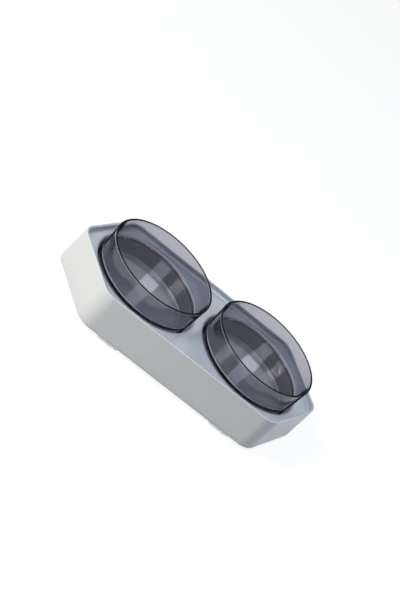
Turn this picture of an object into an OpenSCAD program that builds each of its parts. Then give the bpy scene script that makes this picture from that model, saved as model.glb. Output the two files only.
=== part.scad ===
// Double pet bowl: a six-sided stand with two round pockets and two clear lift-out bowls.
// Millimetres. X runs along the stand, Y from front to rear, Z up from the pads' undersides.

/* [Bowls] */
// Outside diameter of a bowl at its rim
bowl_d = 130; // [110:1:150]
// How much wider a bowl is at its rim than at its foot, on the diameter
bowl_flare = 5.6; // [2:0.2:10]
// Height of a bowl
bowl_h = 51; // [40:1:70]
// Thickness of a bowl's wall
bowl_wall = 2.4; // [1.8:0.1:3.4]
// Height of the open skirt under a bowl's floor
skirt_h = 20; // [12:0.5:28]
// Thickness of a bowl's floor
bowl_floor_t = 2.6; // [1.8:0.1:4]
// Radius where a bowl's floor meets its wall, inside
bowl_floor_r = 3.5; // [1:0.5:8]

/* [Pockets] */
// Room between a bowl's rim size and the wall of its pocket, all round
pocket_room = 0.7; // [0.4:0.1:2]
// Depth of a pocket below the sunk top face
pocket_depth = 22.6; // [15:0.2:28]
// How far a pocket's wall leans in at its floor
pocket_lean = 1; // [0:0.1:1.6]
// Radius of a pocket's rounded mouth
pocket_mouth_r = 3.5; // [1:0.5:4]
// Radius at the foot of a pocket's wall
pocket_foot_r = 2.4; // [1:0.2:3]
// Width of the bridge between the two pockets
pocket_bridge = 13.4; // [10:0.2:24]
// Gap between a bowl's foot and the floor of its pocket
seat_gap = 0.3; // [0.2:0.05:0.5]

/* [Stand outline] */
// From a pocket's wall to the front or rear face of the stand
side_margin = 13.8; // [12:0.2:24]
// From a pocket's wall to the slanted end faces
end_margin = 11.5; // [11:0.1:20]
// Angle that each slanted end face turns away from the X axis
end_angle = 32.4; // [26:0.2:38]
// Radius of the two pointed ends
tip_r = 19; // [12:1:26]
// Radius of the four other upright corners
corner_r = 22; // [12:1:28]
// How far the wall leans out at its foot
foot_lean = 0.8; // [0:0.1:1.5]

/* [Stand heights] */
// Height of the stand from its base plate's underside to its top edge
stand_h = 46.5; // [44:0.5:60]
// Depth of the sunk top face below the top edge
recess_depth = 5.7; // [4.2:0.1:8]
// Radius all round the foot of the lip
recess_foot_r = 3; // [1.5:0.5:3]
// Radius of the casing's top edge
casing_edge_r = 1; // [0.4:0.1:1.2]
// Radius of the lip's inner top edge
lip_edge_r = 0.8; // [0.3:0.1:1]

/* [Walls] */
// Thickness of the casing's wall
casing_wall = 2.8; // [2.4:0.1:3.2]
// Width of the casing's edge that shows round the tray
casing_edge_w = 1.3; // [1.2:0.1:1.6]
// Width of the tray's lip
lip_w = 1.7; // [1.2:0.1:2]
// Thickness of the tray's floor and pocket walls
tray_wall = 2.4; // [1.8:0.1:3]
// Gap between the tray and the casing, all round
seam_gap = 0.15; // [0.1:0.05:0.3]

/* [Base plate] */
// Thickness of the base plate
base_t = 2.2; // [1.6:0.1:3]
// How far the base plate's edge stands back from the casing's foot
base_step = 0.3; // [0:0.1:0.6]
// Width of the locating rib on the base plate
rib_w = 2; // [1.2:0.1:3]
// Height of the locating rib
rib_h = 3; // [2:0.5:6]
// Gap between the locating rib and the casing
rib_gap = 0.25; // [0.1:0.05:0.5]

/* [Screws and posts] */
// Diameter of a screw's shank
screw_d = 2.8; // [2.4:0.1:3.5]
// Length of a screw under its head
screw_len = 12; // [8:1:16]
// Diameter of a screw's head
screw_head_d = 6; // [5:0.5:7]
// Height of a screw's head
screw_head_h = 1.8; // [1.2:0.1:2]
// Gap round a screw's shank in its post
screw_gap = 0.1; // [0.05:0.05:0.2]
// Gap round a screw's shank in the base plate
screw_clear = 0.3; // [0.2:0.1:0.5]
// Diameter of a screw post
post_d = 8; // [7:0.5:9]
// From the stand's front or rear face to the posts
post_inset = 15.5; // [13:0.5:17]
// From the sharp outline corner to the outer posts, along the stand
post_corner = 3.3; // [2:0.1:6]

/* [Pads] */
// Length of a pad
pad_len = 28; // [20:1:36]
// Width of a pad
pad_w = 10; // [6:0.5:11]
// Thickness of a pad
pad_t = 3; // [2.2:0.1:5]
// From the sharp outline corner to the pad's outer end
pad_corner = 23.3; // [16:0.1:30]
// From the base plate's edge to a pad
pad_edge = 0.7; // [0.5:0.1:3]

/* [Hidden] */
$fn = 96;
cut = 1;            // how far a cut runs past the face that it opens
corner_steps = 12;  // flats round each upright corner
edge_steps = 4;     // steps round each small edge radius

// Pocket and stand outline
pocket_r = bowl_d / 2 + pocket_room;
pocket_x = pocket_r + pocket_bridge / 2;
stand_half_y = pocket_r + side_margin;
tip_x = pocket_x + (pocket_r + end_margin) / cos(end_angle);
corner_x = tip_x - stand_half_y * tan(end_angle);
tip_centre = tip_x - tip_r / cos(end_angle);
corner_centre_y = stand_half_y - corner_r;
corner_centre_x = tip_x - (corner_r + sin(end_angle) * corner_centre_y) / cos(end_angle);

// Levels, upwards
base_z = pad_t;
casing_z = base_z + base_t;
top_z = base_z + stand_h;
face_z = top_z - recess_depth;
ledge_z = face_z - tray_wall;
pocket_z = face_z - pocket_depth;
bowl_z = pocket_z + seat_gap;

// Where the lip's inner face stands, in from the stand's outline
tray_inset = casing_edge_w + seam_gap;
lip_inset = tray_inset + lip_w;

// Screw posts, in rows along the front and the rear
post_x = corner_x - post_corner;
post_y = stand_half_y - post_inset;
POSTS = [for (x = [-post_x, 0, post_x], y = [-post_y, post_y]) [x, y]];

// Pad centres
pad_x = corner_x - pad_corner - pad_len / 2;
pad_y = stand_half_y + foot_lean - base_step - pad_edge - pad_w / 2;

// Points of an arc round centre c, from angle a to angle b
function arc(c, r, a, b, steps) =
    [for (k = [0:steps]) c + r * [cos(a + (b - a) * k / steps), sin(a + (b - a) * k / steps)]];

// The stand's six-sided outline with rounded corners, drawn in by inset
function outline(inset) = concat(
    arc([tip_centre, 0], tip_r - inset, -end_angle, end_angle, corner_steps),
    arc([corner_centre_x, corner_centre_y], corner_r - inset, end_angle, 90, corner_steps),
    arc([-corner_centre_x, corner_centre_y], corner_r - inset, 90, 180 - end_angle, corner_steps),
    arc([-tip_centre, 0], tip_r - inset, 180 - end_angle, 180 + end_angle, corner_steps),
    arc([-corner_centre_x, -corner_centre_y], corner_r - inset, 180 + end_angle, 270, corner_steps),
    arc([corner_centre_x, -corner_centre_y], corner_r - inset, 270, 360 - end_angle, corner_steps));

// A straight-sided block on the stand's outline
module prism(inset, from_z, to_z) {
    translate([0, 0, from_z])
        linear_extrude(height = to_z - from_z)
            polygon(outline(inset));
}

// A block whose outline changes with height: levels are [inset, z], upwards
module loft(levels) {
    n = len(outline(0));
    last = len(levels) - 1;
    bottom = [for (i = [0:n - 1]) i];
    top = [for (i = [n - 1:-1:0]) last * n + i];
    sides = [for (j = [0:last - 1], i = [0:n - 1])
        let (k = (i + 1) % n)
        [j * n + i, (j + 1) * n + i, (j + 1) * n + k, j * n + k]];
    polyhedron(points = [for (l = levels, p = outline(l[0])) [p[0], p[1], l[1]]],
               faces = concat([bottom], sides, [top]));
}

// Profile of the cut for one pocket: radius and height above the pocket's floor
function pocket_profile() =
    let (foot = pocket_r - pocket_lean,
         mouth = pocket_r + pocket_mouth_r)
    concat([[0, 0]],
           arc([foot - pocket_foot_r, pocket_foot_r], pocket_foot_r, -90, 0, edge_steps),
           arc([mouth, pocket_depth - pocket_mouth_r], pocket_mouth_r, 180, 90, edge_steps),
           [[mouth, pocket_depth + cut], [0, pocket_depth + cut]]);

// Outside radius of a bowl at height z above its foot
function bowl_out(z) = bowl_d / 2 - bowl_flare / 2 * (1 - z / bowl_h);

// Profile of a bowl: up the outside, over the rim, down inside, across its floor and skirt
function bowl_profile() =
    let (floor_z = skirt_h + bowl_floor_t,
         rim_r = bowl_wall / 2,
         foot_r = bowl_wall / 4,
         in_floor = bowl_out(floor_z + bowl_floor_r) - bowl_wall,
         in_skirt = bowl_out(skirt_h) - bowl_wall)
    concat(arc([bowl_out(0) - foot_r, foot_r], foot_r, -90, 0, edge_steps),
           arc([bowl_d / 2 - rim_r, bowl_h - rim_r], rim_r, 0, 180, 2 * edge_steps),
           arc([in_floor - bowl_floor_r, floor_z + bowl_floor_r], bowl_floor_r, 0, -90, edge_steps),
           [[0, floor_z], [0, skirt_h], [in_skirt, skirt_h]],
           arc([bowl_out(0) - bowl_wall + foot_r, foot_r], foot_r, 180, 270, edge_steps));

// White casing: the outer wall, with a ledge inside its top edge for the tray
module outer_casing() {
    edge = [for (k = [0:edge_steps])
        let (a = 90 * k / edge_steps)
        [casing_edge_r * (1 - cos(a)), top_z - casing_edge_r * (1 - sin(a))]];
    color("whitesmoke")
        difference() {
            loft(concat([[-foot_lean, casing_z]], edge));
            prism(casing_wall, casing_z - cut, ledge_z + cut);
            prism(casing_edge_w, ledge_z, top_z + cut);
        }
}

// Cut for the sunk top face: rounded at its foot and at the lip's inner edge
module recess() {
    foot = [for (k = [0:edge_steps])
        let (a = 90 * k / edge_steps)
        [lip_inset + recess_foot_r * (1 - sin(a)), face_z + recess_foot_r * (1 - cos(a))]];
    edge = [for (k = [0:edge_steps])
        let (a = 90 * k / edge_steps)
        [lip_inset - lip_edge_r * (1 - cos(a)), top_z - lip_edge_r * (1 - sin(a))]];
    loft(concat(foot, edge, [[lip_inset - lip_edge_r, top_z + cut]]));
}

// Blue-grey tray: raised lip, sunk top face, two pockets and the screw posts underneath
module bowl_tray() {
    color("lightsteelblue")
        difference() {
            union() {
                prism(tray_inset, ledge_z, top_z);
                for (side = [-1, 1])
                    translate([side * pocket_x, 0, pocket_z - tray_wall])
                        cylinder(r = pocket_r + tray_wall, h = pocket_depth + tray_wall);
                for (p = POSTS)
                    translate([p[0], p[1], casing_z])
                        cylinder(d = post_d, h = face_z - casing_z);
            }
            recess();
            for (side = [-1, 1])
                translate([side * pocket_x, 0, pocket_z])
                    rotate_extrude()
                        polygon(pocket_profile());
            for (p = POSTS)
                translate([p[0], p[1], casing_z - cut])
                    cylinder(d = screw_d + 2 * screw_gap, h = screw_len - base_t + 2 * cut);
        }
}

// White base plate with a rib that locates the casing, and a hole for each screw
module base_plate() {
    color("whitesmoke")
        difference() {
            union() {
                prism(base_step - foot_lean, base_z, casing_z);
                difference() {
                    prism(casing_wall + rib_gap, casing_z, casing_z + rib_h);
                    prism(casing_wall + rib_gap + rib_w, casing_z - cut, casing_z + rib_h + cut);
                }
            }
            for (p = POSTS)
                translate([p[0], p[1], base_z - cut])
                    cylinder(d = screw_d + 2 * screw_clear, h = base_t + 2 * cut);
        }
}

// One pan-head screw, its head's top face at z = 0 and its shank upwards
module screw() {
    slot_w = screw_head_d / 7;
    slot_len = screw_head_d * 0.6;
    difference() {
        union() {
            translate([0, 0, -screw_head_h])
                cylinder(d = screw_head_d, h = screw_head_h);
            cylinder(d = screw_d, h = screw_len);
        }
        for (turn = [0, 90])
            rotate([0, 0, turn])
                translate([-slot_len / 2, -slot_w / 2, -screw_head_h - cut])
                    cube([slot_len, slot_w, screw_head_h / 2 + cut]);
    }
}

// Six screws that clamp the casing between the base plate and the tray
module base_screws() {
    color("silver")
        for (p = POSTS)
            translate([p[0], p[1], base_z])
                screw();
}

// One soft pad with half-round ends, stuck under the base plate
module pad(x, y) {
    end = pad_len / 2 - pad_w / 2;
    color("gainsboro")
        translate([x, y, 0])
            linear_extrude(height = pad_t)
                polygon(concat(arc([end, 0], pad_w / 2, -90, 90, corner_steps),
                               arc([-end, 0], pad_w / 2, 90, 270, corner_steps)));
}

module front_left_pad() pad(-pad_x, -pad_y);

module front_right_pad() pad(pad_x, -pad_y);

module rear_left_pad() pad(-pad_x, pad_y);

module rear_right_pad() pad(pad_x, pad_y);

// One clear bowl on its pocket's floor
module bowl(x) {
    color("dimgray", 0.5)
        translate([x, 0, bowl_z])
            rotate_extrude()
                polygon(bowl_profile());
}

module left_bowl() bowl(-pocket_x);

module right_bowl() bowl(pocket_x);

outer_casing();
bowl_tray();
base_plate();
base_screws();
front_left_pad();
front_right_pad();
rear_left_pad();
rear_right_pad();
left_bowl();
right_bowl();
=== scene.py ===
import math

import bpy
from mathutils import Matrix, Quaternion, Vector
from mathutils.geometry import tessellate_polygon


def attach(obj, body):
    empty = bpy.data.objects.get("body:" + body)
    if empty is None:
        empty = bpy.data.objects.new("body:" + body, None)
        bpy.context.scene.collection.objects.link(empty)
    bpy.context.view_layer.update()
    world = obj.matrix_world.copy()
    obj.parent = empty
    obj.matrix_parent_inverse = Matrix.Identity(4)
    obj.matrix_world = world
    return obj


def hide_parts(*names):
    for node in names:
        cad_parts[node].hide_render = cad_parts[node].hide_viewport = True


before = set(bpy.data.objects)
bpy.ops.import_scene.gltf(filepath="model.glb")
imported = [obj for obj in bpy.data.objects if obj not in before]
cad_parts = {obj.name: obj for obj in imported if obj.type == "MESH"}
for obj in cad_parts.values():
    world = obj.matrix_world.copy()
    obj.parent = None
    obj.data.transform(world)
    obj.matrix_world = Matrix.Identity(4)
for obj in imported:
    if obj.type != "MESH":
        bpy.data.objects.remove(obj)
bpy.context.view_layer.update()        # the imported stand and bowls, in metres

# Double pet bowl: a six-sided white stand with a blue-grey tray and two smoky clear bowls.
# Lengths in the dictionaries are millimetres; the meshes themselves are made in metres.

scene = bpy.context.scene


# Mesh helpers. Every face carries its own corner normals, so flats stay flat beside rounds.

class Skin:
    def __init__(self):
        self.points, self.known, self.faces, self.normals = [], {}, [], []

    def place(self, point):
        key = tuple(round(value * 1e4) for value in point)
        if key not in self.known:
            self.known[key] = len(self.points)
            self.points.append(tuple(value * 0.001 for value in point))
        return self.known[key]

    def face(self, points, normals):
        ids = [self.place(point) for point in points]
        kept = [k for k in range(len(ids)) if ids[k] != ids[k - 1]]
        if len(kept) > 2:
            self.faces.append([ids[k] for k in kept])
            self.normals += [tuple(normals[k]) for k in kept]

    def build(self, name, material):
        mesh = bpy.data.meshes.new(name)
        mesh.from_pydata(self.points, [], self.faces)
        mesh.polygons.foreach_set("use_smooth", [True] * len(mesh.polygons))
        mesh.normals_split_custom_set(self.normals)
        mesh.materials.append(material)
        piece = bpy.data.objects.new(name, mesh)
        scene.collection.objects.link(piece)
        return piece


def roundedPath(corners, closed=False):
    # corners are (outward, up, radius, steps)
    # gives runs of (outward, up, normalOut, normalUp), broken where the path is sharp
    count, bends = len(corners), []
    for k, (x, z, radius, steps) in enumerate(corners):
        here = Vector((x, z))
        if radius == 0:
            bends.append([(x, z, 0, 0)])
            continue
        before = (Vector(corners[k - 1][:2]) - here).normalized()
        after = (Vector(corners[(k + 1) % count][:2]) - here).normalized()
        half = before.angle(after) / 2
        centre = here + (before + after).normalized() * radius / math.sin(half)
        first = here + before * radius / math.tan(half) - centre
        side = 1 if before.x * after.y - before.y * after.x < 0 else -1    # 1 where the path turns to its left
        bend = []
        for n in range(steps + 1):
            turn = side * (math.pi - 2 * half) * n / steps
            c, s = math.cos(turn), math.sin(turn)
            off = Vector((first.x * c - first.y * s, first.x * s + first.y * c))
            bend.append((*(centre + off), *(off * side / radius)))
        bends.append(bend)
    runs, run = [], []
    for n in range(count + 1 if closed else count):
        bend = bends[n % count]
        if n > 0:
            a, b = bends[n - 1][-1], bend[0]
            way = Vector((b[0] - a[0], b[1] - a[1])).normalized()
            run += [(*a[:2], way.y, -way.x), (*b[:2], way.y, -way.x)]
        if len(bend) == 1:
            runs.append(run)
            run = []
        elif n < count:
            run += bend
    return [run for run in [*runs, run] if len(run) > 1]


def sweepRing(skin, ringAt, runs):
    # ringAt(outward) gives (x, y, normalX, normalY) round the piece, anticlockwise from above
    for run in runs:
        for (r0, z0, a0, b0), (r1, z1, a1, b1) in zip(run, run[1:]):
            if abs(r0 - r1) + abs(z0 - z1) < 1e-5:
                continue
            low, high = ringAt(r0), ringAt(r1)
            for i in range(len(low)):
                k = (i + 1) % len(low)
                corners = [(low[i], z0, a0, b0), (low[k], z0, a0, b0),
                           (high[k], z1, a1, b1), (high[i], z1, a1, b1)]
                skin.face([(p[0], p[1], z) for p, z, a, b in corners],
                          [(p[2] * a, p[3] * a, b) for p, z, a, b in corners])


def roundRing(x, y, segments):
    angles = [2 * math.pi * k / segments for k in range(segments)]
    turns = [(math.cos(angle), math.sin(angle)) for angle in angles]
    return lambda r: [(x + r * c, y + r * s, c, s) for c, s in turns]


def fillFlat(skin, loops, z, up):
    # a level face inside the first loop and outside the others, facing up (1) or down (-1)
    rings = [[Vector((p[0], p[1], 0)) for p in loop] for loop in loops]
    flat = [p for ring in rings for p in ring]
    for ids in tessellate_polygon(rings):
        a, b, c = (flat[k] for k in ids)
        turn = (b - a).cross(c - a).z
        if abs(turn) > 1e-9:
            order = (a, b, c) if turn * up > 0 else (a, c, b)
            skin.face([(p.x, p.y, z) for p in order], [(0, 0, up)] * 3)


# The stand's outline, from the same values as the solids but with finer corners

stand = {"pocketRadius": 65.7, "bridge": 13.4, "halfDepth": 79.5, "endMargin": 11.5, "endAngle": 32.4,
         "tipRadius": 19, "cornerRadius": 22, "cornerSteps": 24, "postInset": 15.5, "postCorner": 3.3}
lean = math.radians(stand["endAngle"])
pocketX = stand["pocketRadius"] + stand["bridge"] / 2
tipX = pocketX + (stand["pocketRadius"] + stand["endMargin"]) / math.cos(lean)
cornerX = tipX - stand["halfDepth"] * math.tan(lean)
tipCentre = tipX - stand["tipRadius"] / math.cos(lean)
cornerCentreY = stand["halfDepth"] - stand["cornerRadius"]
cornerCentreX = tipX - (stand["cornerRadius"] + math.sin(lean) * cornerCentreY) / math.cos(lean)
posts = [(x, y) for x in (-cornerX + stand["postCorner"], 0, cornerX - stand["postCorner"])
         for y in (stand["postInset"] - stand["halfDepth"], stand["halfDepth"] - stand["postInset"])]


def standRing(outward):
    e, steps, ring = stand["endAngle"], stand["cornerSteps"], []
    for x, y, radius, start, end in (
            (tipCentre, 0, stand["tipRadius"], -e, e),
            (cornerCentreX, cornerCentreY, stand["cornerRadius"], e, 90),
            (-cornerCentreX, cornerCentreY, stand["cornerRadius"], 90, 180 - e),
            (-tipCentre, 0, stand["tipRadius"], 180 - e, 180 + e),
            (-cornerCentreX, -cornerCentreY, stand["cornerRadius"], 180 + e, 270),
            (cornerCentreX, -cornerCentreY, stand["cornerRadius"], 270, 360 - e)):
        for n in range(steps + 1):
            a = math.radians(start + (end - start) * n / steps)
            c, s = math.cos(a), math.sin(a)
            ring.append((x + (radius + outward) * c, y + (radius + outward) * s, c, s))
    return ring


# Shader helpers and the effects that the materials share

def addNode(tree, kind, x, y, **settings):
    node = tree.nodes.new(kind)
    node.location = (x, y)
    for name, value in settings.items():
        setattr(node, name, value)
    return node


def setSocket(tree, socket, value):
    # a plain value, or an output to link
    if isinstance(value, bpy.types.NodeSocket):
        tree.links.new(value, socket)
    else:
        socket.default_value = value


def feed(tree, target, **values):
    # sockets of target by their names, spaces left out
    for socket in target.inputs:
        value = values.get(socket.name.replace(" ", ""))
        if value is not None and socket.enabled:
            setSocket(tree, socket, value)


def addMath(tree, operation, x, y, *values):
    node = addNode(tree, "ShaderNodeMath", x, y, operation=operation)
    for socket, value in zip(node.inputs, values):
        setSocket(tree, socket, value)
    return node.outputs[0]


def mixShaders(tree, x, y, factor, first, second):
    node = addNode(tree, "ShaderNodeMixShader", x, y)
    for socket, value in zip(node.inputs, (factor, first, second)):
        tree.links.new(value, socket)
    return node.outputs[0]


def newGroup(name, inputs, outputs):
    group = bpy.data.node_groups.new(name, "ShaderNodeTree")
    for label, kind, value in inputs:
        group.interface.new_socket(label, in_out="INPUT", socket_type=kind).default_value = value
    for label, kind in outputs:
        group.interface.new_socket(label, in_out="OUTPUT", socket_type=kind)
    return group, addNode(group, "NodeGroupInput", -900, 0), addNode(group, "NodeGroupOutput", 500, 0)


def makeMouldGrain():
    # the fine even texture of a spark-eroded mould, as a height, and the slow change in how matt it is
    group, given, out = newGroup("mould grain",
                                 [("Grain Scale", "NodeSocketFloat", 1500), ("Patch Scale", "NodeSocketFloat", 22),
                                  ("Low", "NodeSocketFloat", 0.35), ("High", "NodeSocketFloat", 0.45)],
                                 [("Height", "NodeSocketFloat"), ("Roughness", "NodeSocketFloat")])
    place = addNode(group, "ShaderNodeTexCoord", -900, 300)
    grain = addNode(group, "ShaderNodeTexNoise", -600, 300)
    feed(group, grain, Vector=place.outputs["Object"], Scale=given.outputs["Grain Scale"], Detail=2.0, Roughness=0.6)
    pits = addNode(group, "ShaderNodeTexVoronoi", -600, 0)
    feed(group, pits, Vector=place.outputs["Object"], Scale=given.outputs["Grain Scale"])
    both = addMath(group, "ADD", -350, 200, grain.outputs["Fac"], pits.outputs["Distance"])
    patch = addNode(group, "ShaderNodeTexNoise", -600, -300)
    feed(group, patch, Vector=place.outputs["Object"], Scale=given.outputs["Patch Scale"], Detail=4.0, Roughness=0.55)
    spread = addNode(group, "ShaderNodeMapRange", -300, -250)
    feed(group, spread, Value=patch.outputs["Fac"], FromMin=0.3, FromMax=0.7, ToMin=given.outputs["Low"],
         ToMax=given.outputs["High"])
    group.links.new(both, out.inputs["Height"])
    group.links.new(spread.outputs["Result"], out.inputs["Roughness"])
    return group


def makeToneDrift():
    # two close colours that drift into each other over a hand's width, with a little finer mottling
    group, given, out = newGroup("tone drift",
                                 [("Main", "NodeSocketColor", (0.8, 0.8, 0.8, 1)),
                                  ("Other", "NodeSocketColor", (0.7, 0.7, 0.7, 1)),
                                  ("Scale", "NodeSocketFloat", 9)],
                                 [("Colour", "NodeSocketColor")])
    place = addNode(group, "ShaderNodeTexCoord", -900, 300)
    cloud = addNode(group, "ShaderNodeTexNoise", -600, 200)
    feed(group, cloud, Vector=place.outputs["Object"], Scale=given.outputs["Scale"], Detail=5.0, Roughness=0.5)
    spread = addNode(group, "ShaderNodeMapRange", -350, 200)
    feed(group, spread, Value=cloud.outputs["Fac"], FromMin=0.35, FromMax=0.65, ToMin=0.0, ToMax=1.0)
    blend = addNode(group, "ShaderNodeMix", -50, 100, data_type="RGBA")
    feed(group, blend, Factor=spread.outputs["Result"], A=given.outputs["Main"], B=given.outputs["Other"])
    group.links.new(blend.outputs["Result"], out.inputs["Colour"])
    return group


def makeRubMarks():
    # where hands and bowls rub: a band about a height, broken up, and hairline marks laid every way
    group, given, out = newGroup("rub marks",
                                 [("Height", "NodeSocketFloat", 0.0495), ("Band", "NodeSocketFloat", 0.002),
                                  ("Hair Scale", "NodeSocketFloat", 260)],
                                 [("Band Mask", "NodeSocketFloat"), ("Hair Mask", "NodeSocketFloat")])
    place = addNode(group, "ShaderNodeTexCoord", -900, 300)
    split = addNode(group, "ShaderNodeSeparateXYZ", -700, 300)
    group.links.new(place.outputs["Object"], split.inputs[0])
    away = addMath(group, "SUBTRACT", -500, 300, split.outputs["Z"], given.outputs["Height"])
    size = addMath(group, "ABSOLUTE", -350, 300, away)
    near = addNode(group, "ShaderNodeMapRange", -150, 300)
    feed(group, near, Value=size, FromMin=0.0, FromMax=given.outputs["Band"], ToMin=1.0, ToMax=0.0)
    breaks = addNode(group, "ShaderNodeTexNoise", -350, 60)
    feed(group, breaks, Vector=place.outputs["Object"], Scale=70.0, Detail=3.0)
    broken = addMath(group, "MULTIPLY", 100, 220, near.outputs["Result"], breaks.outputs["Fac"])
    hair = addNode(group, "ShaderNodeTexVoronoi", -350, -200, feature="DISTANCE_TO_EDGE")
    feed(group, hair, Vector=place.outputs["Object"], Scale=given.outputs["Hair Scale"])
    line = addNode(group, "ShaderNodeMapRange", -100, -200)
    feed(group, line, Value=hair.outputs["Distance"], FromMin=0.0, FromMax=0.05, ToMin=1.0, ToMax=0.0)
    faint = addMath(group, "MULTIPLY", 150, -120, line.outputs["Result"], breaks.outputs["Fac"])
    group.links.new(broken, out.inputs["Band Mask"])
    group.links.new(faint, out.inputs["Hair Mask"])
    return group


mouldGrain, toneDrift, rubMarks = makeMouldGrain(), makeToneDrift(), makeRubMarks()


def useGroup(tree, group, x, y, **values):
    node = addNode(tree, "ShaderNodeGroup", x, y)
    node.node_tree = group
    feed(tree, node, **values)
    return node


def newMaterial(name):
    material = bpy.data.materials.new(name)
    material.use_nodes = True
    tree = material.node_tree
    tree.nodes.clear()
    body = addNode(tree, "ShaderNodeBsdfPrincipled", 200, 0)
    return material, tree, body, addNode(tree, "ShaderNodeOutputMaterial", 700, 0)


def useTone(tree, finish):
    return useGroup(tree, toneDrift, -500, 300, Main=(*finish["main"], 1), Other=(*finish["other"], 1),
                    Scale=finish["toneScale"]).outputs["Colour"]


def useGrain(tree, finish):
    return useGroup(tree, mouldGrain, -700, 0, GrainScale=finish["grainScale"], PatchScale=finish["patchScale"],
                    Low=finish["rough"][0], High=finish["rough"][1])


def useRub(tree, finish):
    return useGroup(tree, rubMarks, -700, -300, Height=finish["rubHeight"], Band=finish["rubBand"],
                    HairScale=finish["hairScale"])


def addBump(tree, x, y, finish, height):
    bump = addNode(tree, "ShaderNodeBump", x, y)
    feed(tree, bump, Strength=finish["grainStrength"], Distance=finish["grainDepth"], Height=height)
    return bump.outputs["Normal"]


whiteFinish = {"main": (0.855, 0.87, 0.87), "other": (0.826, 0.845, 0.85), "toneScale": 9.0,
               "grainScale": 1400.0, "grainStrength": 0.25, "grainDepth": 0.00003,
               "patchScale": 24.0, "rough": (0.34, 0.44), "ior": 1.5, "specular": 0.5,
               "rubHeight": 0.0495, "rubBand": 0.0016, "rubPolish": 0.16, "hairScale": 170.0, "hairRough": 0.03}
trayFinish = {"main": (0.405, 0.447, 0.495), "other": (0.393, 0.434, 0.482), "toneScale": 11.0,
              "grainScale": 1700.0, "grainStrength": 0.22, "grainDepth": 0.000025,
              "patchScale": 30.0, "rough": (0.1, 0.13), "ior": 1.5, "specular": 0.5,
              "rubHeight": 0.0212, "rubBand": 0.0012, "rubPolish": -0.12, "hairScale": 210.0, "hairRough": 0.02}


def makePlastic(name, finish):
    # opaque moulded plastic: drifting tone, moulded grain, and edges rubbed smoother or duller
    material, tree, body, out = newMaterial(name)
    tone, grain, rub = useTone(tree, finish), useGrain(tree, finish), useRub(tree, finish)
    worn = addMath(tree, "MULTIPLY_ADD", -300, -150, rub.outputs["Band Mask"], -finish["rubPolish"],
                   grain.outputs["Roughness"])
    marked = addMath(tree, "MULTIPLY_ADD", -130, -250, rub.outputs["Hair Mask"], finish["hairRough"], worn)
    feed(tree, body, BaseColor=tone, Roughness=marked, IOR=finish["ior"], SpecularIORLevel=finish["specular"],
         Normal=addBump(tree, -100, -450, finish, grain.outputs["Height"]))
    tree.links.new(body.outputs[0], out.inputs["Surface"])
    return material


# The bowls' clear plastic. The edge and rim shares say how dark the painted edge shade is, the line shares how pale
# the painted highlight lines are.
clearFinish = {"skin": (0.7, 0.695, 0.725), "passes": (0.0, 0.0, 0.14), "density": 185.0, "ior": 1.49,
               "grainScale": 26.0, "grainStrength": 0.3, "grainDepth": 0.000015,
               "patchScale": 34.0, "rough": (0.0, 0.006),
               "rubHeight": 0.0215, "rubBand": 0.0015, "hairScale": 150.0, "hairRough": 0.004,
               "shadow": (0.88, 0.88, 0.89), "edgeDark": (0.012, 0.012, 0.016), "linePale": (0.95, 0.97, 1.0),
               "edge": (0.745, 0.805), "edgeShare": 0.96, "levelTurn": (0.5, 0.8),
               "rim": (0.0715, 0.0719), "rimShare": 0.94}

# painted highlight lines round a bowl: height over its foot in mm, and share
paintedHighlightLines = ((0.9, 0.95), (1.9, 0.0), (24.5, 0.0), (24.9, 0.45), (25.3, 0.45), (25.7, 0.0),
             (49.0, 0.0), (49.4, 0.3), (49.8, 0.3), (50.1, 0.0))
bowlRise = {"foot": 0.0215, "rim": 0.0725}    # where the lines' heights start and end, in metres


def addPaintedEdgeShadeMask(tree, height):
    # painted shade: a near-black diffuse laid on the rim and on walls seen edge on, from outside only, standing in for
    # the darkness that the light's long way through the plastic gives there
    slant = addNode(tree, "ShaderNodeLayerWeight", -500, 600)
    feed(tree, slant, Blend=0.5)
    deep = addNode(tree, "ShaderNodeMapRange", -300, 600, interpolation_type="SMOOTHSTEP")
    feed(tree, deep, Value=slant.outputs["Facing"], FromMin=clearFinish["edge"][0], FromMax=clearFinish["edge"][1],
         ToMin=0.0, ToMax=clearFinish["edgeShare"])
    rim = addNode(tree, "ShaderNodeMapRange", -300, 350, interpolation_type="SMOOTHSTEP")
    feed(tree, rim, Value=height, FromMin=clearFinish["rim"][0], FromMax=clearFinish["rim"][1],
         ToMin=0.0, ToMax=clearFinish["rimShare"])
    side = addNode(tree, "ShaderNodeNewGeometry", -900, 850)
    lie = addNode(tree, "ShaderNodeSeparateXYZ", -700, 850)
    tree.links.new(side.outputs["Normal"], lie.inputs[0])
    level = addMath(tree, "ABSOLUTE", -500, 850, lie.outputs["Z"])
    steep = addNode(tree, "ShaderNodeMapRange", -300, 850)    # the walls, not the level floor
    feed(tree, steep, Value=level, FromMin=clearFinish["levelTurn"][0], FromMax=clearFinish["levelTurn"][1],
         ToMin=1.0, ToMax=0.0)
    walls = addMath(tree, "MULTIPLY", -100, 700, deep.outputs["Result"], steep.outputs["Result"])
    either = addMath(tree, "MAXIMUM", -100, 500, walls, rim.outputs["Result"])
    outer = addMath(tree, "MULTIPLY_ADD", 60, 600, side.outputs["Backfacing"], -1.0, either)
    outer.node.use_clamp = True
    return outer


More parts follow.
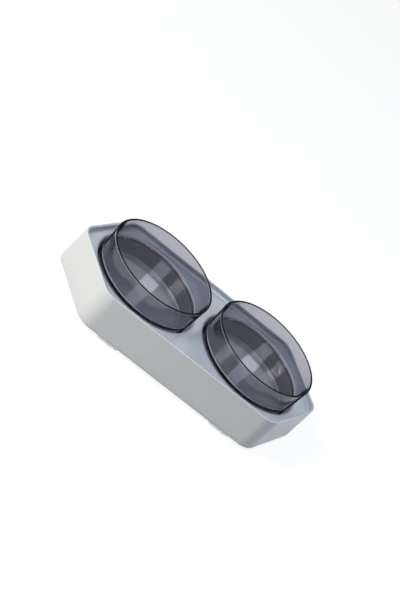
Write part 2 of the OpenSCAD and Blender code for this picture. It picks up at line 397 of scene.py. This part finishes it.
def addPaintedHighlightMask(tree, height):
    # painted highlights: thin pale lines at the foot, floor and rim, where rounded edges would gather light
    rise = addNode(tree, "ShaderNodeMapRange", -300, 100)
    feed(tree, rise, Value=height, FromMin=bowlRise["foot"], FromMax=bowlRise["rim"])
    highlightRamp = addNode(tree, "ShaderNodeValToRGB", -100, 100)
    tree.links.new(rise.outputs["Result"], highlightRamp.inputs[0])
    span = (bowlRise["rim"] - bowlRise["foot"]) * 1000
    places = [level / span for level, share in paintedHighlightLines]
    stops = highlightRamp.color_ramp.elements
    stops[0].position, stops[1].position = places[0], places[-1]
    for place in places[1:-1]:
        stops.new(place)
    for stop, (level, share) in zip(stops, paintedHighlightLines):
        stop.color = (share, share, share, 1)
    return highlightRamp.outputs["Color"]


def makeSmokyClear():
    # solid smoky plastic: clear skin, colour taken up along the light's way through it
    material, tree, body, out = newMaterial("smoky clear plastic")
    grain, rub = useGrain(tree, clearFinish), useRub(tree, clearFinish)
    marked = addMath(tree, "MULTIPLY_ADD", -300, -150, rub.outputs["Hair Mask"], clearFinish["hairRough"],
                     grain.outputs["Roughness"])
    feed(tree, body, BaseColor=(*clearFinish["skin"], 1), Roughness=marked, IOR=clearFinish["ior"],
         TransmissionWeight=1.0, Metallic=0.0,
         Normal=addBump(tree, -100, -450, clearFinish, grain.outputs["Height"]))
    place = addNode(tree, "ShaderNodeTexCoord", -900, 400)
    split = addNode(tree, "ShaderNodeSeparateXYZ", -700, 400)
    tree.links.new(place.outputs["Object"], split.inputs[0])
    # painted shade: a near-black diffuse mixed over the clear plastic at the rim and at edge-on walls
    paintedEdgeShade = addNode(tree, "ShaderNodeBsdfDiffuse", 200, -800)
    feed(tree, paintedEdgeShade, Color=(*clearFinish["edgeDark"], 1))
    withPaintedEdgeShade = mixShaders(tree, 380, 150, addPaintedEdgeShadeMask(tree, split.outputs["Z"]), body.outputs[0], paintedEdgeShade.outputs[0])
    # painted highlights: a pale diffuse mixed in as thin lines at the foot, floor and rim
    pale = addNode(tree, "ShaderNodeBsdfDiffuse", 380, -300)
    feed(tree, pale, Color=(*clearFinish["linePale"], 1))
    withPaintedHighlights = mixShaders(tree, 460, 80, addPaintedHighlightMask(tree, split.outputs["Z"]), withPaintedEdgeShade, pale.outputs[0])
    ray = addNode(tree, "ShaderNodeLightPath", 200, 400)
    passed = addNode(tree, "ShaderNodeBsdfTransparent", 200, -450)    # so that light reaches what lies behind
    feed(tree, passed, Color=(*clearFinish["shadow"], 1))
    mix = mixShaders(tree, 540, 0, ray.outputs["Is Shadow Ray"], withPaintedHighlights, passed.outputs[0])
    smoke = addNode(tree, "ShaderNodeVolumeAbsorption", 200, -600)
    feed(tree, smoke, Color=(*clearFinish["passes"], 1), Density=clearFinish["density"])
    tree.links.new(mix, out.inputs["Surface"])
    tree.links.new(smoke.outputs[0], out.inputs["Volume"])
    return material


padFinish = {"main": (0.96, 0.965, 0.97), "other": (0.93, 0.935, 0.94), "toneScale": 60.0,
             "grainScale": 900.0, "grainStrength": 0.3, "grainDepth": 0.00004,
             "patchScale": 80.0, "rough": (0.16, 0.24), "ior": 1.41, "clear": 0.8, "shadow": (0.9, 0.9, 0.9)}


def makePadRubber():
    # milky soft pads, mostly clear
    material, tree, body, out = newMaterial("milky soft pad")
    tone, grain = useTone(tree, padFinish), useGrain(tree, padFinish)
    feed(tree, body, BaseColor=tone, Roughness=grain.outputs["Roughness"], IOR=padFinish["ior"],
         TransmissionWeight=padFinish["clear"],
         Normal=addBump(tree, -100, -300, padFinish, grain.outputs["Height"]))
    ray = addNode(tree, "ShaderNodeLightPath", 200, 400)
    passed = addNode(tree, "ShaderNodeBsdfTransparent", 200, -450)    # so that light reaches what lies behind
    feed(tree, passed, Color=(*padFinish["shadow"], 1))
    mix = mixShaders(tree, 500, 0, ray.outputs["Is Shadow Ray"], body.outputs[0], passed.outputs[0])
    tree.links.new(mix, out.inputs["Surface"])
    return material


steelFinish = {"main": (0.62, 0.61, 0.6), "other": (0.5, 0.5, 0.5), "toneScale": 240.0,
               "grainScale": 2400.0, "grainStrength": 0.2, "grainDepth": 0.00001,
               "patchScale": 300.0, "rough": (0.24, 0.38)}


def makeScrewSteel():
    # zinc-plated steel, a little uneven
    material, tree, body, out = newMaterial("plated screw steel")
    tone, grain = useTone(tree, steelFinish), useGrain(tree, steelFinish)
    feed(tree, body, BaseColor=tone, Roughness=grain.outputs["Roughness"], Metallic=1.0,
         Normal=addBump(tree, -100, -300, steelFinish, grain.outputs["Height"]))
    tree.links.new(body.outputs[0], out.inputs["Surface"])
    return material


whitePlastic = makePlastic("warm white moulded plastic", whiteFinish)
trayPlastic = makePlastic("blue-grey moulded plastic", trayFinish)
smokyClear, padRubber, screwSteel = makeSmokyClear(), makePadRubber(), makeScrewSteel()
print("materials made:", len(bpy.data.materials), "with", len(bpy.data.node_groups), "shared groups")


# White casing

casing = {"wall": 2.8, "foot": 5.2, "footOut": 0.8, "footRadius": 0.35, "footInner": 0.2,
          "top": 49.5, "topRadius": 0.5, "edgeWidth": 0.6, "seamRadius": 0.1,
          "rebate": 1.3, "rebateTop": 48.3, "ledge": 41.4, "ledgeRadius": 0.3}


def makeCasing():
    skin = Skin()
    sweepRing(skin, standRing, roundedPath([
        (-casing["wall"], casing["foot"], casing["footInner"], 3),
        (casing["footOut"], casing["foot"], casing["footRadius"], 4),
        (0, casing["top"], casing["topRadius"], 8),
        (-casing["edgeWidth"], casing["top"], casing["seamRadius"], 3),
        (-casing["rebate"], casing["rebateTop"], 0, 0),
        (-casing["rebate"], casing["ledge"], 0, 0),
        (-casing["wall"], casing["ledge"], casing["ledgeRadius"], 3)], closed=True))
    piece = skin.build("casing_shell", whitePlastic)
    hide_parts("outer_casing")
    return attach(piece, "stand")


# Blue-grey tray: lip, sunk face, two pockets, and the cups and posts under them

tray = {"side": -1.45, "flare": -0.72, "flareFoot": 48.2, "top": 49.5, "outerEdge": 0.15,
        "lipInner": -3.15, "lipEdge": 0.8, "footRadius": 3.0, "face": 43.8, "faceStart": -6.4, "ledge": 41.4}
pocket = {"mouthOut": 69.7, "mouthRadius": 3.5, "wallTop": 65.91, "wallFoot": 64.556, "floor": 21.2,
          "floorRadius": 2.4, "level": 58, "cupRadius": 68.1, "cupFoot": 18.8, "cupEdge": 2.4, "segments": 176}
post = {"radius": 4, "foot": 5.2, "footEdge": 0.3, "hole": 1.5, "holeTop": 16, "segments": 32}


def makeTray():
    skin = Skin()
    sweepRing(skin, standRing, roundedPath([
        (tray["side"], tray["ledge"], 0, 0),
        (tray["side"], tray["flareFoot"], 0, 0),
        (tray["flare"], tray["top"], tray["outerEdge"], 3),
        (tray["lipInner"], tray["top"], tray["lipEdge"], 8),
        (tray["lipInner"], tray["face"], tray["footRadius"], 12),
        (tray["faceStart"], tray["face"], 0, 0)]))
    rings = [roundRing(side * pocketX, 0, pocket["segments"]) for side in (-1, 1)]
    for ring in rings:
        sweepRing(skin, ring, roundedPath([
            (pocket["mouthOut"], tray["face"], 0, 0),
            (pocket["wallTop"], tray["face"], pocket["mouthRadius"], 14),
            (pocket["wallFoot"], pocket["floor"], pocket["floorRadius"], 10),
            (pocket["level"], pocket["floor"], 0, 0)]))
        fillFlat(skin, [ring(pocket["level"])], pocket["floor"], 1)
        sweepRing(skin, ring, roundedPath([
            (pocket["level"], pocket["cupFoot"], 0, 0),
            (pocket["cupRadius"], pocket["cupFoot"], pocket["cupEdge"], 6),
            (pocket["cupRadius"], tray["ledge"], 0, 0)]))
        fillFlat(skin, [ring(pocket["level"])], pocket["cupFoot"], -1)
    postRings = [roundRing(x, y, post["segments"]) for x, y in posts]
    for ring in postRings:
        sweepRing(skin, ring, roundedPath([
            (0, post["holeTop"], 0, 0),
            (post["hole"], post["holeTop"], 0, 0),
            (post["hole"], post["foot"], 0, 0),
            (post["radius"], post["foot"], post["footEdge"], 3),
            (post["radius"], tray["ledge"], 0, 0)]))
    cups = [ring(pocket["cupRadius"]) for ring in rings] + [ring(post["radius"]) for ring in postRings]
    fillFlat(skin, [standRing(tray["faceStart"])] + [ring(pocket["mouthOut"]) for ring in rings], tray["face"], 1)
    fillFlat(skin, [standRing(tray["side"])] + cups, tray["ledge"], -1)
    piece = skin.build("tray_shell", trayPlastic)
    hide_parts("bowl_tray")
    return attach(piece, "stand")


# White base plate with its locating rib

plate = {"edge": 0.5, "foot": 3.0, "footRadius": 1.2, "level": -1.2, "top": 5.2, "topRadius": 0.15,
         "ribOut": -3.05, "ribIn": -5.05, "ribTop": 8.2, "ribRadius": 0.3, "hole": 1.7, "segments": 32}


def makeBasePlate():
    skin = Skin()
    sweepRing(skin, standRing, roundedPath([
        (plate["level"], plate["foot"], 0, 0),
        (plate["edge"], plate["foot"], plate["footRadius"], 8),
        (plate["edge"], plate["top"], plate["topRadius"], 2),
        (plate["ribOut"], plate["top"], 0, 0),
        (plate["ribOut"], plate["ribTop"], plate["ribRadius"], 3),
        (plate["ribIn"], plate["ribTop"], plate["ribRadius"], 3),
        (plate["ribIn"], plate["top"], 0, 0)]))
    holes = [roundRing(x, y, plate["segments"]) for x, y in posts]
    for ring in holes:
        sweepRing(skin, ring, roundedPath([
            (plate["hole"], plate["top"], 0, 0),
            (plate["hole"], plate["foot"], 0, 0)]))
    inside = [ring(plate["hole"]) for ring in holes]
    fillFlat(skin, [standRing(plate["ribIn"])] + inside, plate["top"], 1)
    fillFlat(skin, [standRing(plate["level"])] + inside, plate["foot"], -1)
    piece = skin.build("base_cover", whitePlastic)
    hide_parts("base_plate")
    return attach(piece, "stand")


# Six pan-head screws with cross slots

screwSet = {"headFoot": 1.2, "headTop": 3.0, "headRadius": 3.0, "headEdge": 0.9, "flat": 1.95,
            "slotHalf": 1.8, "slotWidth": 0.43, "slotDepth": 0.9, "shank": 1.4, "collar": 0.6, "segments": 40}
thread = {"core": 1.12, "pitch": 1.0, "rootFrom": 0.35, "rootTo": 0.65, "rootEdge": 0.05, "crestEdge": 0.04,
          "end": 15.0, "tipLength": 0.7, "tipRadius": 0.5, "tipEdge": 0.2}


def makeScrews():
    skin = Skin()
    a, b = screwSet["slotHalf"], screwSet["slotWidth"]
    slot = [(a, -b), (a, b), (b, b), (b, a), (-b, a), (-b, b), (-a, b), (-a, -b), (-b, -b), (-b, -a), (b, -a), (b, -b)]
    low, deep = screwSet["headFoot"], screwSet["headFoot"] + screwSet["slotDepth"]
    start = screwSet["headTop"] + screwSet["collar"]
    turns = int((thread["end"] - screwSet["headTop"] - screwSet["collar"]) / thread["pitch"]) - 1
    groove = [(screwSet["shank"], start, 0, 0)]
    for n in range(turns):
        z = start + n * thread["pitch"]
        groove += [(thread["core"], z + thread["rootFrom"], thread["rootEdge"], 2),
                   (thread["core"], z + thread["rootTo"], thread["rootEdge"], 2),
                   (screwSet["shank"], z + thread["pitch"], thread["crestEdge"], 2)]
    groove += [(thread["core"], thread["end"] - thread["tipLength"], 0, 0),
               (thread["tipRadius"], thread["end"], thread["tipEdge"], 3),
               (0, thread["end"], 0, 0)]
    for x, y in posts:
        ring = roundRing(x, y, screwSet["segments"])
        sweepRing(skin, ring, roundedPath([
            (screwSet["flat"], low, 0, 0),
            (screwSet["headRadius"], low, screwSet["headEdge"], 8),
            (screwSet["headRadius"], screwSet["headTop"], 0, 0),
            (screwSet["shank"], screwSet["headTop"], 0, 0),
            (screwSet["shank"], start, 0, 0)]))
        sweepRing(skin, ring, roundedPath(groove))
        cross = [(x + p, y + q) for p, q in slot]
        fillFlat(skin, [ring(screwSet["flat"]), cross], low, -1)
        for x0, y0, x1, y1 in ((-b, -b, b, b), (b, -b, a, b), (-a, -b, -b, b), (-b, b, b, a), (-b, -a, b, -b)):
            skin.face([(x + p, y + q, deep) for p, q in ((x0, y0), (x0, y1), (x1, y1), (x1, y0))], [(0, 0, -1)] * 4)
        for p, q in zip(cross, cross[1:] + cross[:1]):
            across = Vector((p[1] - q[1], q[0] - p[0], 0)).normalized()
            skin.face([(*q, low), (*p, low), (*p, deep), (*q, deep)], [across] * 4)
    piece = skin.build("screw_set", screwSteel)
    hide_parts("base_screws")
    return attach(piece, "stand")


# Four soft pads

pad = {"length": 28, "width": 10, "top": 3.0, "footRadius": 0.9, "footInset": 1.4, "draft": 0.2,
       "topRadius": 0.25, "topInset": 0.9, "fromCorner": 23.3, "fromEdge": 0.7, "steps": 14}


def makePad(name, node, sideX, sideY):
    half, flat = pad["width"] / 2, pad["length"] / 2 - pad["width"] / 2
    x = sideX * (cornerX - pad["fromCorner"] - pad["length"] / 2)
    y = sideY * (stand["halfDepth"] + plate["edge"] - pad["fromEdge"] - half)

    def ring(outward):
        found = []
        for centre, start in ((flat, -90), (-flat, 90)):
            for n in range(pad["steps"] + 1):
                turn = math.radians(start + 180 * n / pad["steps"])
                c, s = math.cos(turn), math.sin(turn)
                found.append((x + centre + (half + outward) * c, y + (half + outward) * s, c, s))
        return found

    skin = Skin()
    sweepRing(skin, ring, roundedPath([
        (-pad["footInset"], 0, 0, 0),
        (0, 0, pad["footRadius"], 6),
        (-pad["draft"], pad["top"], pad["topRadius"], 3),
        (-pad["topInset"], pad["top"], 0, 0)]))
    fillFlat(skin, [ring(-pad["footInset"])], 0, -1)
    fillFlat(skin, [ring(-pad["topInset"])], pad["top"], 1)
    piece = skin.build(name, padRubber)
    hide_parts(node)
    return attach(piece, "stand")


# The two clear bowls, turned from one profile: skirt, foot, wall, rim, inside and floor

bowl = {"seat": 21.5, "height": 51, "rimOut": 65.0, "rimIn": 62.67, "rimRadius": 1.12,
        "footOut": 62.2, "footIn": 59.766, "footRadius": 0.6, "skirt": 20, "skirtOut": 60.898, "skirtRadius": 1.0,
        "floor": 22.6, "floorOut": 61.03, "floorRadius": 1.5, "level": 55, "segments": 192}


def makeBowl(name, node, side):
    skin, seat = Skin(), bowl["seat"]
    ring = roundRing(side * pocketX, 0, bowl["segments"])
    sweepRing(skin, ring, roundedPath([
        (bowl["level"], seat + bowl["skirt"], 0, 0),
        (bowl["skirtOut"], seat + bowl["skirt"], bowl["skirtRadius"], 6),
        (bowl["footIn"], seat, bowl["footRadius"], 6),
        (bowl["footOut"], seat, bowl["footRadius"], 6),
        (bowl["rimOut"], seat + bowl["height"], bowl["rimRadius"], 12),
        (bowl["rimIn"], seat + bowl["height"], bowl["rimRadius"], 12),
        (bowl["floorOut"], seat + bowl["floor"], bowl["floorRadius"], 16),
        (bowl["level"], seat + bowl["floor"], 0, 0)]))
    fillFlat(skin, [ring(bowl["level"])], seat + bowl["skirt"], -1)
    fillFlat(skin, [ring(bowl["level"])], seat + bowl["floor"], 1)
    piece = skin.build(name, smokyClear)
    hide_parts(node)
    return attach(piece, node)


makeCasing()
makeTray()
print("stand: casing and tray made")
makeBasePlate()
makeScrews()
for row, sideY in (("front", -1), ("rear", 1)):
    for hand, sideX in (("left", -1), ("right", 1)):
        makePad(f"{row}_{hand}_soft_pad", f"{row}_{hand}_pad", sideX, sideY)
print("underside: plate, screws and pads made")
makeBowl("left_clear_bowl", "left_bowl", -1)
makeBowl("right_clear_bowl", "right_bowl", 1)
print("bowls made")


# Floor and soft studio light

floorFinish = {"size": 30.0, "bounce": 0.45, "shown": 0.18, "glow": 0.87}


def addSeenMask(tree, x, y):
    # 1 for the rays that show the background: to the camera, off gloss and through clear plastic
    ray = addNode(tree, "ShaderNodeLightPath", x, y)
    seen = addMath(tree, "MAXIMUM", x + 250, y, ray.outputs["Is Camera Ray"], ray.outputs["Is Glossy Ray"])
    return addMath(tree, "MAXIMUM", x + 420, y, seen, ray.outputs["Is Transmission Ray"])


def makeFloor():
    mesh = bpy.data.meshes.new("studio_floor")
    # set off centre, so that the seam between its two triangles misses the bowls' place
    half, near, far = floorFinish["size"] / 2, -floorFinish["size"] / 3, floorFinish["size"] * 2 / 3
    mesh.from_pydata([(-half, near, 0), (half, near, 0), (half, far, 0), (-half, far, 0)], [], [(0, 1, 2, 3)])
    floor = bpy.data.objects.new("studio_floor", mesh)
    scene.collection.objects.link(floor)
    material = bpy.data.materials.new("white studio floor")
    material.use_nodes = True
    tree = material.node_tree
    tree.nodes.clear()
    out = addNode(tree, "ShaderNodeOutputMaterial", 900, 0)
    plain = addNode(tree, "ShaderNodeBsdfDiffuse", -250, 100)
    feed(tree, plain, Color=(floorFinish["bounce"],) * 3 + (1,))
    pale = addNode(tree, "ShaderNodeBsdfDiffuse", -250, -50)
    feed(tree, pale, Color=(floorFinish["shown"],) * 3 + (1,))
    glow = addNode(tree, "ShaderNodeEmission", -250, -200)
    feed(tree, glow, Color=(1, 1, 1, 1), Strength=floorFinish["glow"])
    both = addNode(tree, "ShaderNodeAddShader", 0, -100)
    tree.links.new(pale.outputs[0], both.inputs[0])
    tree.links.new(glow.outputs[0], both.inputs[1])
    top = mixShaders(tree, 250, 100, addSeenMask(tree, -500, 400), plain.outputs[0], both.outputs[0])
    under = addNode(tree, "ShaderNodeNewGeometry", 250, 400)    # from below, the floor isn't there
    clear = addNode(tree, "ShaderNodeBsdfTransparent", 250, -100)
    face = mixShaders(tree, 600, 100, under.outputs["Backfacing"], top, clear.outputs[0])
    tree.links.new(face, out.inputs["Surface"])
    mesh.materials.append(material)


def towards(azimuth, height):
    # the way from the bowls to a lamp or the camera, in degrees
    a, e = math.radians(azimuth), math.radians(height)
    return Vector((math.sin(a) * math.cos(e), -math.cos(a) * math.cos(e), math.sin(e)))


room = {"light": 0.187, "tint": (0.8, 0.98, 1.13), "lampsAim": 0.04}
lamps = {"key": {"azimuth": -68, "height": 40, "distance": 1.7, "size": (0.6, 0.6),
                 "power": 21.9, "tint": (1.0, 0.955, 0.895)},
         "top": {"azimuth": 118, "height": 75, "distance": 1.7, "size": (0.45, 0.45),
                 "power": 6.9, "tint": (0.88, 0.98, 1.12)},
         "right": {"azimuth": 112, "height": 42, "distance": 1.7, "size": (0.5, 0.25),
                   "power": 3.3, "tint": (0.9, 0.98, 1.1)},
         "left strip": {"azimuth": 168.4, "height": 29.5, "distance": 2.15, "size": (0.04, 0.9),
                        "power": 0.22, "tint": (0.93, 0.98, 1.06)},
         "right strip": {"azimuth": 159.3, "height": 29.0, "distance": 2.25, "size": (0.04, 0.9),
                         "power": 0.22, "tint": (0.93, 0.98, 1.06)}}


def makeRoom():
    world = bpy.data.worlds.new("white studio")
    scene.world = world
    world.use_nodes = True
    tree = world.node_tree
    tree.nodes.clear()
    out = addNode(tree, "ShaderNodeOutputWorld", 600, 0)
    soft = addNode(tree, "ShaderNodeBackground", 0, 50)
    feed(tree, soft, Color=(*room["tint"], 1), Strength=room["light"])
    white = addNode(tree, "ShaderNodeBackground", 0, -100)
    feed(tree, white, Color=(1, 1, 1, 1), Strength=1.0)
    mix = mixShaders(tree, 300, 0, addSeenMask(tree, -500, 300), soft.outputs[0], white.outputs[0])
    tree.links.new(mix, out.inputs["Surface"])


def makeLamps():
    for name, lamp in lamps.items():
        light = bpy.data.lights.new(name + " softbox", "AREA")
        light.shape, light.energy, light.color = "RECTANGLE", lamp["power"], lamp["tint"]
        light.size, light.size_y = lamp["size"]
        softbox = bpy.data.objects.new(name.replace(" ", "_") + "_softbox", light)
        away = towards(lamp["azimuth"], lamp["height"])
        softbox.location = Vector((0, 0, room["lampsAim"])) + away * lamp["distance"]
        softbox.rotation_mode = "QUATERNION"
        softbox.rotation_quaternion = away.to_track_quat("Z", "Y")
        scene.collection.objects.link(softbox)


makeFloor()
makeRoom()
makeLamps()
print("floor and light made")


# Camera, turned so that the stand runs from upper left to lower right

view = {"azimuth": -15.587, "elevation": 28.55, "roll": 46.22, "aim": (-0.0143, 0.01608, 0.0574),
        "distance": 1.8119, "lens": 100.783, "sensor": 36, "near": 0.05, "far": 60}


def makeCamera():
    data = bpy.data.cameras.new("photo_camera")
    data.lens, data.sensor_width, data.sensor_fit = view["lens"], view["sensor"], "AUTO"
    data.clip_start, data.clip_end = view["near"], view["far"]
    camera = bpy.data.objects.new("photo_camera", data)
    back = towards(view["azimuth"], view["elevation"])
    camera.location = Vector(view["aim"]) + back * view["distance"]
    camera.rotation_mode = "QUATERNION"
    camera.rotation_quaternion = (-back).to_track_quat("-Z", "Y") @ Quaternion((0, 0, 1), math.radians(view["roll"]))
    scene.collection.objects.link(camera)
    scene.camera = camera


makeCamera()
scene.view_settings.view_transform = "Standard"
print("camera set")
